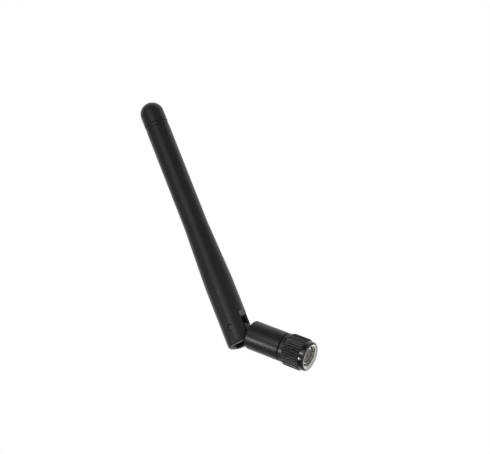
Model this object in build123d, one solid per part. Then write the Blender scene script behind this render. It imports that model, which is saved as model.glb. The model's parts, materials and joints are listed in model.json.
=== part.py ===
from build123d import *
import os
from math import cos, pi, radians, sin, sqrt, tan

# Tilt-and-swivel rod antenna with a threaded coaxial plug. All sizes are in millimetres.
# Origin: on the plug's axis, at the front face of its outer contact, the mating reference plane.
# +Z runs from the plug's mouth back to the tilt hinge, the hinge pins lie along Y, and at rest
# the rod leans over to +X. The rod is drawn upright about the hinge and then tilted and lifted.

# Places along the plug's axis
MOUTH_AHEAD = 0.9  # how far the coupling nut reaches past the reference plane
NUT_LENGTH = 8.05
COLLAR_LENGTH = 0.25  # the body's collar between the nut and the barrel
COLLAR_PLAY = 0.05  # end play on each side of that collar
BARREL_LENGTH = 10.6
SHOULDER_TO_HINGE = 5.1
REST_TILT = 45.0  # degrees from straight

# Contact parts of the plug, whose sizes are standard ones
SHELL_R = 2.295
SHELL_LENGTH = 2.4
SHELL_CHAMFER = 0.1
DIELECTRIC_R = 2.05
DIELECTRIC_LENGTH = 6.0
CONTACT_R = 0.635
SOCKET_R = 0.47
SOCKET_DEPTH = 2.6
SOCKET_LEAD = 0.1
SOCKET_SLOT = 0.12
SOCKET_SLOT_DEPTH = 1.9
CUP_DEPTH = 1.0  # solder cup at the contact's rear

# Body of the plug
JOURNAL_R = 2.75
COLLAR_R = 3.55
SPIGOT_R = 2.6
SPIGOT_LENGTH = 5.0
SNAP_GROOVE_DEPTH = 0.25
SNAP_GROOVE_WIDTH = 1.0
SNAP_GROOVE_SETBACK = 1.3  # from the spigot's rear end
STUB_R = 0.8
RING_GROOVE_FLOOR_R = 2.3
RING_FRONT = 4.5
RING_THICKNESS = 0.6
RING_WALL = 0.8
RING_SPLIT = 0.9
RING_PLAY = 0.1  # beside and around the ring

# Coupling nut
RUNNING_FIT = 0.05  # radial, nut on journal, barrel on spigot, pins in tongue
THREAD_BORE_R = 3.2
MOUTH_CHAMFER = 0.1
NUT_WALL_BEHIND_THREAD = 3.2  # where the nut's inner wall starts, from the reference plane
NUT_BAND_R = 4.15
NUT_FRONT_BAND = 1.5
NUT_REAR_BAND = 1.2
NUT_FRONT_CHAMFER = 0.6
NUT_REAR_CHAMFER = 0.15
KNURL_R = 4.55
KNURL_DEPTH = 0.35
KNURL_COUNT = 36
KNURL_LAND = 0.12  # share of the pitch that stands proud

# Knuckle barrel
BARREL_R = 4.1
BARREL_FRONT_CHAMFER = 0.15
BARREL_SHOULDER_ROUND = 0.45
FERRULE_ROOM_R = 2.0
FERRULE_ROOM_END = 1.2  # wall left under the shoulder
FERRULE_ROOM_GAP = 0.55  # from the stub's end to that wall
TONGUE_HALF_WIDTH = 2.3
TONGUE_HALF_THICKNESS = 1.8
TONGUE_EDGE = 0.2
CHANNEL_R = 0.85

# Hinge
PIN_R = 0.85
PIN_SUNK = 0.35  # how far each pin's end lies below the surface of its ear
PIN_TO_CABLE = 0.95  # where each pin stops, from the middle of the tongue
POCKET_SIDE_GAP = 0.15
POCKET_END_GAP = 0.2

# Rod cover, with heights from the hinge
COVER_BELOW_HINGE = 4.7
BASE_R = 4.1
BASE_TOP = 14.6
TUBE_R = 3.44
CONE_TOP = 32.7
TUBE_TOP = 64.7
COVER_BORE_R = 2.5
COVER_BORE_GAP = 0.04  # around what fits in the bore
COVER_FLOOR = 6.5
COVER_BOTTOM_ROUND = 0.7
EAR_SWEEP_GAP = 0.2  # between the ears' round corner and the barrel's shoulder
SLOT_RAMP = 1.6
POCKET_MOUTH_CHAMFER = 0.4
SLOT_EDGE = 0.4  # bevel on the slot's two long edges on the tilt side
TUBE_TOP_EDGE = 0.08

# Tip cap
BAND_HEIGHT = 1.3
BAND_DEPTH = 0.12
CAP_HEIGHT = 7.1
CAP_EDGE = 0.08
CAP_SPIGOT_LENGTH = 4.5
CAP_HOLLOW_R = 1.6
CAP_HOLLOW_RISE = 2.0  # above the tube's end

# Cable, 1.37 mm coaxial
JACKET_R = 0.685
BRAID_R = 0.55
INSULATION_R = 0.4
CONDUCTOR_R = 0.15
CABLE_BEND_R = 4.0
STUB_BORE_GAP = 0.04
BRAID_WALL = 0.15
FERRULE_WALL = 0.3
FERRULE_SHORT = 0.3  # the ferrule's distance from the spigot's end face

# Radiating parts in the rod, with heights from the hinge
SLEEVE_BOTTOM = 19.0
SLEEVE_TOP = 42.0
SLEEVE_R = 2.2
SLEEVE_WALL = 0.2
SLEEVE_END = 0.5
BRAID_BARE = 2.0  # bare braid under the sleeve's end wall
BRAID_PROUD = 0.3  # bare braid above it
SOLDER_REACH = 0.35
SOLDER_RISE = 0.2
FEED_GAP = 1.4
ELEMENT_R = 0.75
ELEMENT_BELOW_TUBE_TOP = 1.7
ELEMENT_CUP = 2.0
ELEMENT_TIP_CHAMFER = 0.2
BUSH_LENGTH = 3.0
BUSH_LIP = 0.6
SPACER_BELOW_CAP = 3.2  # from the spacer to the cap's spigot
SPACER_LENGTH = 4.0
SPACER_FLUTES = 4
SPACER_FLUTE_R = 0.7

# Worked out places
NUT_REAR = NUT_LENGTH - MOUTH_AHEAD
COLLAR_FRONT = NUT_REAR + COLLAR_PLAY
COLLAR_REAR = COLLAR_FRONT + COLLAR_LENGTH
BARREL_FRONT = COLLAR_REAR + COLLAR_PLAY
SHOULDER = BARREL_FRONT + BARREL_LENGTH
HINGE_Z = SHOULDER + SHOULDER_TO_HINGE
SPIGOT_END = COLLAR_REAR + SPIGOT_LENGTH
SNAP_FRONT = SPIGOT_END - SNAP_GROOVE_SETBACK - SNAP_GROOVE_WIDTH
FERRULE_ROOM_REAR = SHOULDER - FERRULE_ROOM_END
STUB_END = FERRULE_ROOM_REAR - FERRULE_ROOM_GAP
STUB_BORE_R = INSULATION_R + STUB_BORE_GAP
BEND_REACH = CABLE_BEND_R * tan(radians(REST_TILT / 2))
POCKET_HALF_WIDTH = TONGUE_HALF_THICKNESS + POCKET_SIDE_GAP
POCKET_REACH = TONGUE_HALF_WIDTH + POCKET_END_GAP
EAR_SWEEP_R = SHOULDER_TO_HINGE - EAR_SWEEP_GAP
BAND_R = TUBE_R - BAND_DEPTH
CAP_FOOT = TUBE_TOP + BAND_HEIGHT
CAP_SHOULDER = CAP_FOOT + CAP_HEIGHT - TUBE_R
CAP_SPIGOT_LOW = TUBE_TOP - CAP_SPIGOT_LENGTH
ELEMENT_TOP = TUBE_TOP - ELEMENT_BELOW_TUBE_TOP
SPACER_TOP = CAP_SPIGOT_LOW - SPACER_BELOW_CAP
FAR = 20.0  # longer than any cut has to be
OVERRUN = 1.0  # how far a cut runs past the face it opens
ROUND_FLATS = 3  # narrow flats that a small turned round is cut in


def turned(points):
    """A solid of revolution about Z from an outline of (radius, height) points."""
    outline = make_face(Polyline([(r, 0, z) for r, z in points], close=True))
    return revolve(outline, Axis.Z)


def quarter_round(radius, height, size, start):
    """Outline points a quarter turn round a centre at (radius, height), from a start angle."""
    angles = [start + step * pi / 2 / ROUND_FLATS for step in range(ROUND_FLATS + 1)]
    return [(radius + size * cos(angle), height + size * sin(angle)) for angle in angles]


def rod(radius, low, high):
    """A round bar about Z between two heights."""
    return Pos(0, 0, low) * Cylinder(radius, high - low, align=(Align.CENTER, Align.CENTER, Align.MIN))


def tube(outer, inner, low, high):
    """A round tube about Z between two heights."""
    return rod(outer, low, high) - rod(inner, low - OVERRUN, high + OVERRUN)


def cross_bar(radius, near, far):
    """A round bar along Y, through the hinge axis at height zero, between two places on Y."""
    return Pos(0, near, 0) * Rot(-90, 0, 0) * rod(radius, 0, far - near)


def block(low, high):
    """A rectangular block between two opposite corners."""
    size = [b - a for a, b in zip(low, high)]
    return Pos(*low) * Box(*size, align=(Align.MIN, Align.MIN, Align.MIN))


def at_hinge(piece):
    """Lift a piece drawn about the hinge axis to its height over the plug."""
    return Pos(0, 0, HINGE_Z) * piece


def on_rod(piece):
    """Tilt a piece drawn on the upright rod and lift it to the hinge."""
    return at_hinge(Rot(0, REST_TILT, 0) * piece)


# Plug


def connector_body():
    """Shell, nut journal, collar, spigot for the barrel and crimp stub, turned in one piece."""
    groove_front = RING_FRONT - RING_PLAY
    groove_rear = RING_FRONT + RING_THICKNESS + RING_PLAY
    snap_floor = SPIGOT_R - SNAP_GROOVE_DEPTH
    snap_rear = SNAP_FRONT + SNAP_GROOVE_WIDTH
    outline = [
        (DIELECTRIC_R, 0),
        (SHELL_R - SHELL_CHAMFER, 0),
        (SHELL_R, SHELL_CHAMFER),
        (SHELL_R, SHELL_LENGTH),
        (JOURNAL_R, SHELL_LENGTH),
        (JOURNAL_R, groove_front),
        (RING_GROOVE_FLOOR_R, groove_front),
        (RING_GROOVE_FLOOR_R, groove_rear),
        (JOURNAL_R, groove_rear),
        (JOURNAL_R, COLLAR_FRONT),
        (COLLAR_R, COLLAR_FRONT),
        (COLLAR_R, COLLAR_REAR),
        (SPIGOT_R, COLLAR_REAR),
        (SPIGOT_R, SNAP_FRONT),
        (snap_floor, SNAP_FRONT),
        (snap_floor, snap_rear),
        (SPIGOT_R, snap_rear),
        (SPIGOT_R, SPIGOT_END),
        (STUB_R, SPIGOT_END),
        (STUB_R, STUB_END),
        (STUB_BORE_R, STUB_END),
        (STUB_BORE_R, DIELECTRIC_LENGTH),
        (DIELECTRIC_R, DIELECTRIC_LENGTH),
    ]
    return turned(outline)


def dielectric():
    """The insulator that holds the centre contact in the shell."""
    return tube(DIELECTRIC_R, CONTACT_R, 0, DIELECTRIC_LENGTH)


def centre_contact():
    """A slotted socket in front and a solder cup behind."""
    outline = [
        (0, SOCKET_DEPTH),
        (SOCKET_R, SOCKET_DEPTH),
        (SOCKET_R, SOCKET_LEAD),
        (SOCKET_R + SOCKET_LEAD, 0),
        (CONTACT_R, 0),
        (CONTACT_R, DIELECTRIC_LENGTH),
        (CONDUCTOR_R, DIELECTRIC_LENGTH),
        (CONDUCTOR_R, DIELECTRIC_LENGTH - CUP_DEPTH),
        (0, DIELECTRIC_LENGTH - CUP_DEPTH),
    ]
    socket = turned(outline)
    slot = block((-CONTACT_R, -SOCKET_SLOT / 2, 0), (CONTACT_R, SOCKET_SLOT / 2, SOCKET_SLOT_DEPTH))
    return socket - slot - Rot(0, 0, 90) * slot


def retaining_ring():
    """The split ring that holds the nut on the body."""
    inner = RING_GROOVE_FLOOR_R + RING_PLAY / 2
    ring = tube(inner + RING_WALL, inner, RING_FRONT, RING_FRONT + RING_THICKNESS)
    split = block((0, -RING_SPLIT / 2, 0), (FAR, RING_SPLIT / 2, FAR))
    return ring - split


def knurl_outline():
    """Outline of the fluted grip: V flutes with narrow lands between them."""
    pitch = 2 * pi / KNURL_COUNT
    floor = KNURL_R - KNURL_DEPTH
    points = []
    for tooth in range(KNURL_COUNT):
        middle = tooth * pitch
        for radius, turn in (
            (KNURL_R, -KNURL_LAND / 2),
            (KNURL_R, KNURL_LAND / 2),
            (floor, 0.5),
        ):
            angle = middle + turn * pitch
            points.append((radius * cos(angle), radius * sin(angle)))
    return Polyline(points, close=True)


def nut_outside():
    """Smooth band, fluted grip and smooth rear band, as one solid blank."""
    front = -MOUTH_AHEAD
    grip_front = front + NUT_FRONT_BAND
    grip_rear = NUT_REAR - NUT_REAR_BAND
    bands = turned(
        [
            (0, front),
            (NUT_BAND_R - NUT_FRONT_CHAMFER, front),
            (NUT_BAND_R, front + NUT_FRONT_CHAMFER),
            (NUT_BAND_R, NUT_REAR - NUT_REAR_CHAMFER),
            (NUT_BAND_R - NUT_REAR_CHAMFER, NUT_REAR),
            (0, NUT_REAR),
        ]
    )
    grip = Pos(0, 0, grip_front) * extrude(make_face(knurl_outline()), grip_rear - grip_front)
    return bands + grip


def nut_inside():
    """Countersunk thread bore, rear bore on the journal and the ring's groove."""
    front = -MOUTH_AHEAD
    bore = JOURNAL_R + RUNNING_FIT
    groove_front = RING_FRONT - RING_PLAY
    groove_rear = RING_FRONT + RING_THICKNESS + RING_PLAY
    groove = RING_GROOVE_FLOOR_R + RING_WALL + 2 * RING_PLAY
    return turned(
        [
            (0, front - OVERRUN),
            (THREAD_BORE_R + MOUTH_CHAMFER + OVERRUN, front - OVERRUN),
            (THREAD_BORE_R, front + MOUTH_CHAMFER),
            (THREAD_BORE_R, NUT_WALL_BEHIND_THREAD),
            (bore, NUT_WALL_BEHIND_THREAD),
            (bore, groove_front),
            (groove, groove_front),
            (groove, groove_rear),
            (bore, groove_rear),
            (bore, NUT_REAR + OVERRUN),
            (0, NUT_REAR + OVERRUN),
        ]
    )


def coupling_nut():
    """The knurled nut that screws the plug onto its socket."""
    return nut_outside() - nut_inside()


def crimp_ferrule():
    """The sleeve that clamps the braid on the crimp stub."""
    inner = STUB_R + BRAID_WALL
    return tube(inner + FERRULE_WALL, inner, SPIGOT_END + FERRULE_SHORT, STUB_END)


# Knuckle


def barrel_outside():
    """Straight barrel with a rounded shoulder."""
    soft = BARREL_SHOULDER_ROUND
    return turned(
        [
            (0, BARREL_FRONT),
            (BARREL_R - BARREL_FRONT_CHAMFER, BARREL_FRONT),
            (BARREL_R, BARREL_FRONT + BARREL_FRONT_CHAMFER),
            *quarter_round(BARREL_R - soft, SHOULDER - soft, soft, 0),
            (0, SHOULDER),
        ]
    )


def tongue():
    """Flat tongue with a round end about the hinge axis, the end's edges broken."""
    foot = -SHOULDER_TO_HINGE - BARREL_SHOULDER_ROUND
    half = TONGUE_HALF_WIDTH
    outline = Rectangle(2 * half, -foot, align=(Align.CENTER, Align.MIN))
    outline = Pos(0, foot) * outline + Circle(half)
    plate = Rot(90, 0, 0) * extrude(outline, TONGUE_HALF_THICKNESS, both=True)
    round_end = plate.edges().filter_by(GeomType.CIRCLE)
    return at_hinge(chamfer(round_end, TONGUE_EDGE))


def barrel_inside():
    """Bore on the spigot with its snap bead, room for the ferrule, and the cable's channel."""
    bore = SPIGOT_R + RUNNING_FIT
    bead = bore - SNAP_GROOVE_DEPTH
    bead_front = SNAP_FRONT + RING_PLAY
    bead_rear = SNAP_FRONT + SNAP_GROOVE_WIDTH - RING_PLAY
    room_front = SPIGOT_END + COLLAR_PLAY
    channel = [(CHANNEL_R, FERRULE_ROOM_REAR), (CHANNEL_R, HINGE_Z), (0, HINGE_Z)]
    return turned(
        [
            (0, BARREL_FRONT - OVERRUN),
            (bore, BARREL_FRONT - OVERRUN),
            (bore, bead_front),
            (bead, bead_front),
            (bead, bead_rear),
            (bore, bead_rear),
            (bore, room_front),
            (FERRULE_ROOM_R, room_front),
            (FERRULE_ROOM_R, FERRULE_ROOM_REAR),
            *channel,
        ]
    )


def cable_slot():
    """Slot in the tongue's end, open from straight ahead round to the side the rod tilts to."""
    r = CHANNEL_R
    return at_hinge(block((-r, -r, -r), (FAR, r, FAR)))


def knuckle_barrel():
    """The moulded knuckle: it swivels on the plug and carries the tilt hinge."""
    pin_hole = at_hinge(cross_bar(PIN_R + RUNNING_FIT, -FAR, FAR))
    return barrel_outside() + tongue() - barrel_inside() - cable_slot() - pin_hole


# Rod


def cover_outside():
    """Straight base, long cone and slim tube, with a rounded bottom edge."""
    soft = COVER_BOTTOM_ROUND
    return turned(
        [
            (0, -COVER_BELOW_HINGE),
            *quarter_round(BASE_R - soft, soft - COVER_BELOW_HINGE, soft, -pi / 2),
            (BASE_R, BASE_TOP),
            (TUBE_R, CONE_TOP),
            (TUBE_R, TUBE_TOP - TUBE_TOP_EDGE),
            (TUBE_R - TUBE_TOP_EDGE, TUBE_TOP),
            (0, TUBE_TOP),
        ]
    )


def hinge_pocket():
    """Pocket for the tongue, open below and on the tilt side, with a ramp and a bevelled mouth."""
    reach = POCKET_REACH
    half = POCKET_HALF_WIDTH
    pocket = block((-reach, -half, -FAR), (FAR, half, reach))
    ramp_profile = Polyline(
        [
            (BASE_R - SLOT_RAMP, 0, reach),
            (BASE_R + SLOT_RAMP, 0, reach + 2 * SLOT_RAMP),
            (BASE_R + SLOT_RAMP, 0, reach),
        ],
        close=True,
    )
    ramp = extrude(make_face(ramp_profile), half, both=True)
    edge = POCKET_MOUTH_CHAMFER
    mouth = Rectangle(FAR, 2 * (half + edge), align=(Align.MIN, Align.CENTER))
    mouth_low = Pos(-reach - edge, 0, -COVER_BELOW_HINGE) * mouth
    bevel = extrude(mouth_low, edge, taper=45)
    return pocket + ramp + bevel


def slot_edges():
    """What is cut off the slot's two long edges where they run up the outside of the cover."""
    half = POCKET_HALF_WIDTH
    inner = sqrt(BASE_R**2 - (half + SLOT_EDGE) ** 2) - SLOT_EDGE
    outer = inner + FAR
    outline = Polyline(
        [(inner, -half), (inner, half), (outer, half + FAR), (outer, -half - FAR)], close=True
    )
    return Pos(0, 0, -FAR) * extrude(make_face(outline), FAR + POCKET_REACH)


def ear_corner():
    """What is cut off the ears so that the barrel's shoulder swings past them."""
    corner = block((0, -FAR, -FAR), (FAR, FAR, 0))
    return corner - cross_bar(EAR_SWEEP_R, -FAR, FAR)


def radome():
    """The rod's cover, moulded in one piece with the two hinge ears."""
    cover = cover_outside()
    cover -= rod(COVER_BORE_R, COVER_FLOOR, TUBE_TOP + OVERRUN)
    cover -= rod(CHANNEL_R, 0, COVER_FLOOR + OVERRUN)
    cover -= hinge_pocket()
    cover -= slot_edges()
    cover -= ear_corner()
    cover -= cross_bar(PIN_R, -FAR, FAR)
    return on_rod(cover)


def hinge_pins():
    """Two short pins, one in each ear, that leave the middle free for the cable."""
    pin = cross_bar(PIN_R, PIN_TO_CABLE, BASE_R - PIN_SUNK)
    return on_rod(Compound([pin, Rot(0, 0, 180) * pin]))


def tip_cap():
    """Domed cap with a hollow spigot in the tube and a narrow band below its foot."""
    spigot_r = COVER_BORE_R - COVER_BORE_GAP
    skin = turned(
        [
            (0, CAP_SPIGOT_LOW),
            (spigot_r, CAP_SPIGOT_LOW),
            (spigot_r, TUBE_TOP),
            (BAND_R, TUBE_TOP),
            (BAND_R, CAP_FOOT),
            (TUBE_R - CAP_EDGE, CAP_FOOT),
            (TUBE_R, CAP_FOOT + CAP_EDGE),
            (TUBE_R, CAP_SHOULDER),
            (0, CAP_SHOULDER),
        ]
    )
    upright = (Align.CENTER, Align.CENTER, Align.MIN)
    dome = Pos(0, 0, CAP_SHOULDER) * Sphere(TUBE_R, arc_size1=0, align=upright)
    hollow = rod(CAP_HOLLOW_R, CAP_SPIGOT_LOW - OVERRUN, TUBE_TOP + CAP_HOLLOW_RISE)
    return on_rod(skin + dome - hollow)


# Cable


def coax_lower():
    """Jacketed cable from the crimp stub to the start of its bend."""
    return rod(JACKET_R, STUB_END, HINGE_Z - BEND_REACH)


def coax_bend():
    """The stretch that bends as the rod tilts, at rest an arc between the two straight runs."""
    start = HINGE_Z - BEND_REACH
    section = Pos(0, 0, start) * Circle(JACKET_R)
    return revolve(section, Axis((CABLE_BEND_R, 0, start), (0, 1, 0)), REST_TILT)


def coax_upper():
    """Jacketed cable up the rod, into the sleeve."""
    return on_rod(rod(JACKET_R, BEND_REACH, SLEEVE_TOP - SLEEVE_END - BRAID_BARE))


def coax_braid_lower():
    """Bare braid spread over the crimp stub, under the ferrule."""
    return tube(STUB_R + BRAID_WALL, STUB_R, SPIGOT_END + FERRULE_SHORT, STUB_END)


def coax_braid_upper():
    """Bare braid that passes through the sleeve's end wall."""
    return on_rod(
        tube(BRAID_R, INSULATION_R, SLEEVE_TOP - SLEEVE_END - BRAID_BARE, SLEEVE_TOP + BRAID_PROUD)
    )


def coax_core_lower():
    """Bare insulation inside the crimp stub."""
    return tube(INSULATION_R, CONDUCTOR_R, DIELECTRIC_LENGTH, STUB_END)


def coax_core_upper():
    """Bare insulation from the jacket's end to the feed point."""
    top = SLEEVE_TOP + BRAID_PROUD + FEED_GAP
    return on_rod(tube(INSULATION_R, CONDUCTOR_R, SLEEVE_TOP - SLEEVE_END - BRAID_BARE, top))


def coax_conductor_lower():
    """Inner conductor soldered into the centre contact."""
    return rod(CONDUCTOR_R, DIELECTRIC_LENGTH - CUP_DEPTH, STUB_END)


def coax_conductor_upper():
    """Inner conductor soldered into the upper element."""
    top = SLEEVE_TOP + BRAID_PROUD + FEED_GAP + ELEMENT_CUP
    return on_rod(rod(CONDUCTOR_R, SLEEVE_TOP - SLEEVE_END - BRAID_BARE, top))


# Radiating parts


def sleeve_element():
    """Lower half of the dipole: a brass sleeve, open below, closed above round the braid."""
    sleeve = rod(SLEEVE_R, SLEEVE_BOTTOM, SLEEVE_TOP)
    sleeve -= rod(SLEEVE_R - SLEEVE_WALL, SLEEVE_BOTTOM - OVERRUN, SLEEVE_TOP - SLEEVE_END)
    sleeve -= rod(BRAID_R, SLEEVE_BOTTOM - OVERRUN, SLEEVE_TOP + OVERRUN)
    return on_rod(sleeve)


def solder_ring():
    """Fillet of solder that joins the braid to the sleeve's end wall."""
    cone = turned(
        [
            (BRAID_R, SLEEVE_TOP),
            (BRAID_R + SOLDER_REACH, SLEEVE_TOP),
            (BRAID_R, SLEEVE_TOP + SOLDER_RISE),
        ]
    )
    return on_rod(cone)


def sleeve_bush():
    """Plastic bush that centres the cable in the sleeve and the sleeve in the cover."""
    top = SLEEVE_BOTTOM + BUSH_LENGTH
    foot = SLEEVE_BOTTOM - BUSH_LIP
    plug = tube(SLEEVE_R - SLEEVE_WALL, JACKET_R, foot, top)
    lip = tube(COVER_BORE_R - COVER_BORE_GAP, JACKET_R, foot, SLEEVE_BOTTOM)
    return on_rod(plug + lip)


def upper_element():
    """Upper half of the dipole: a brass rod with a solder cup below."""
    low = SLEEVE_TOP + BRAID_PROUD + FEED_GAP
    outline = [
        (CONDUCTOR_R, low),
        (ELEMENT_R, low),
        (ELEMENT_R, ELEMENT_TOP - ELEMENT_TIP_CHAMFER),
        (ELEMENT_R - ELEMENT_TIP_CHAMFER, ELEMENT_TOP),
        (0, ELEMENT_TOP),
        (0, low + ELEMENT_CUP),
        (CONDUCTOR_R, low + ELEMENT_CUP),
    ]
    return on_rod(turned(outline))


def element_spacer():
    """Fluted spacer that centres the upper element in the cover."""
    low = SPACER_TOP - SPACER_LENGTH
    spacer = tube(COVER_BORE_R - COVER_BORE_GAP, ELEMENT_R, low, SPACER_TOP)
    flute = Pos(COVER_BORE_R, 0, 0) * rod(SPACER_FLUTE_R, low - OVERRUN, SPACER_TOP + OVERRUN)
    for number in range(SPACER_FLUTES):
        spacer -= Rot(0, 0, number * 360 / SPACER_FLUTES) * flute
    return on_rod(spacer)


PIECES = {
    "connector_body": connector_body,
    "dielectric": dielectric,
    "centre_contact": centre_contact,
    "retaining_ring": retaining_ring,
    "coupling_nut": coupling_nut,
    "crimp_ferrule": crimp_ferrule,
    "knuckle_barrel": knuckle_barrel,
    "radome": radome,
    "hinge_pins": hinge_pins,
    "tip_cap": tip_cap,
    "coax_lower": coax_lower,
    "coax_bend": coax_bend,
    "coax_upper": coax_upper,
    "coax_braid_lower": coax_braid_lower,
    "coax_braid_upper": coax_braid_upper,
    "coax_core_lower": coax_core_lower,
    "coax_core_upper": coax_core_upper,
    "coax_conductor_lower": coax_conductor_lower,
    "coax_conductor_upper": coax_conductor_upper,
    "sleeve_element": sleeve_element,
    "solder_ring": solder_ring,
    "sleeve_bush": sleeve_bush,
    "upper_element": upper_element,
    "element_spacer": element_spacer,
}

os.makedirs("parts", exist_ok=True)
for name, make in PIECES.items():
    export_step(make(), f"parts/{name}.step")
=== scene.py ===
"""Looks of a tilt-and-swivel rod antenna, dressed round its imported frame.

Sizes in the classes are millimetres, drawn upright about each sub-assembly's own axis. Every mesh is
written in metres in the frame's axes, so a finished piece's object sits at the origin, unturned.
"""

from __future__ import annotations

import json
import logging
import math
from dataclasses import dataclass
from enum import Enum

import bmesh
import bpy
import numpy as np
from mathutils import Matrix, Vector

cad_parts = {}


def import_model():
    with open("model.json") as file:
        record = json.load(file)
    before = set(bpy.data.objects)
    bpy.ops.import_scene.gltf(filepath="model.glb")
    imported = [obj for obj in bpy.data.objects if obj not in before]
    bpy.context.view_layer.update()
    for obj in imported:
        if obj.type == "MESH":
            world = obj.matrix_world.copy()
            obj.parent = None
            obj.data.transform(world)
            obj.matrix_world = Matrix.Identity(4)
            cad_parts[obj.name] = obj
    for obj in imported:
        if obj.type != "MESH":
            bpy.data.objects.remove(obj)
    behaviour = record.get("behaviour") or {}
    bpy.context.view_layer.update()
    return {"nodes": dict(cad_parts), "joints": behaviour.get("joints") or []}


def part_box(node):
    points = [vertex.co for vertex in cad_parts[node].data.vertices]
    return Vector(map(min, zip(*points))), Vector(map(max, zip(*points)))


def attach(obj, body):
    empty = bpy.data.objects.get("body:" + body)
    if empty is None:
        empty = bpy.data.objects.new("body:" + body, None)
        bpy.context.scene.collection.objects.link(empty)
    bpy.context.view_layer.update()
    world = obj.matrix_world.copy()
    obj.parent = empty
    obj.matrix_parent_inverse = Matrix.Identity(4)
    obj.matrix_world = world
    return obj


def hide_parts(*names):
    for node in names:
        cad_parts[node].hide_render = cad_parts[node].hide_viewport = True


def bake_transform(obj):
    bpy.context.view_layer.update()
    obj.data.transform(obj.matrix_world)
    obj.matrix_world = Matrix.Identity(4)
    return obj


LOG = logging.getLogger("rod_antenna")
MM = 0.001
TURN = 2.0 * math.pi
MERGE = 1e-7  # metres within which two grid points are one vertex
CREASE = 32.0  # degrees past which an edge is shaded sharp
PAST = 9.0  # millimetres that a cutter reaches past what it cuts


# Shapes as whole arrays


@dataclass(frozen=True)
class Axes:
    """Where a sub-assembly that is drawn upright stands in the frame.

    The axes are the frame's own, turned about Y by the tilt and moved to the origin.
    """

    origin: tuple[float, float, float] = (0.0, 0.0, 0.0)  # metres
    tilt: float = 0.0  # radians

    def place(self, points: np.ndarray) -> np.ndarray:
        """Turn points about Y, take them from millimetres to metres and move them to the origin.

        Args:
            points: array whose last axis is x, y, z in millimetres.

        Returns:
            The same array in the frame, in metres.
        """
        cos, sin = math.cos(self.tilt), math.sin(self.tilt)
        x, y, z = points[..., 0], points[..., 1], points[..., 2]
        turned = np.stack([x * cos + z * sin, y, z * cos - x * sin], axis=-1)
        return turned * MM + np.array(self.origin)


def arc(radius: float, angles: np.ndarray) -> np.ndarray:
    """Points of a circle about the origin, one row each: radius times the cosine, and times the sine."""
    return radius * np.stack([np.cos(angles), np.sin(angles)], axis=-1)


def outline(corners: list[tuple[float, float, float]], step: float = math.radians(9)) -> np.ndarray:
    """An open outline whose corners are rounded by true arcs.

    An arc of radius r that is tangent to both sides of a corner starts r / tan(half the corner's
    angle) before it, and its centre lies r / sin(half that angle) along the bisector.

    Args:
        corners: (across, along, rounding) for each corner, and a rounding of 0 keeps it sharp.
        step: the largest turn between two points of an arc, in radians.

    Returns:
        The points, one row each.
    """
    points = [np.array(corners[0][:2])]
    for before, corner, after in zip(corners, corners[1:], corners[2:]):
        here, radius = np.array(corner[:2]), corner[2]
        if radius == 0:
            points.append(here)
            continue
        back = np.array(before[:2]) - here
        ahead = np.array(after[:2]) - here
        back, ahead = back / np.linalg.norm(back), ahead / np.linalg.norm(ahead)
        half = math.acos(float(np.clip(back @ ahead, -1, 1))) / 2
        middle = (back + ahead) / np.linalg.norm(back + ahead)
        centre = here + middle * radius / math.sin(half)
        start = here + back * radius / math.tan(half) - centre
        end = here + ahead * radius / math.tan(half) - centre
        first = math.atan2(start[1], start[0])
        turn = (math.atan2(end[1], end[0]) - first + math.pi) % TURN - math.pi
        angles = first + np.linspace(0, turn, max(3, math.ceil(abs(turn) / step) + 1))
        points.extend(centre + arc(radius, angles))
    points.append(np.array(corners[-1][:2]))
    return np.array(points)


def around(radius: np.ndarray, heights: np.ndarray, angles: np.ndarray) -> np.ndarray:
    """Points of a surface round Z: x is r cos a, y is r sin a, and z is the row's height.

    Args:
        radius: rows by angles, or rows by one where it is the same all round.
        heights: one for each row.
        angles: the angles round Z, in radians.

    Returns:
        Array of rows by angles by 3.
    """
    level = heights[:, None] * np.ones_like(angles)
    return np.stack([radius * np.cos(angles), radius * np.sin(angles), level], axis=-1)


def revolved(profile: np.ndarray, angles: np.ndarray) -> np.ndarray:
    """Points of a surface of revolution, from (radius, height) rows."""
    return around(profile[:, :1], profile[:, 1], angles)


def even_turn(count: int, start: float = 0.0) -> np.ndarray:
    """Angles of a full turn in equal steps, without the last one, which is the first again."""
    return start + np.arange(count) * TURN / count


def ring_of(flat: np.ndarray) -> np.ndarray:
    """A closed (n, 2) outline as the first two columns of (n, 3) points at height zero."""
    return np.concatenate([flat, np.zeros((len(flat), 1))], axis=1)


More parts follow.
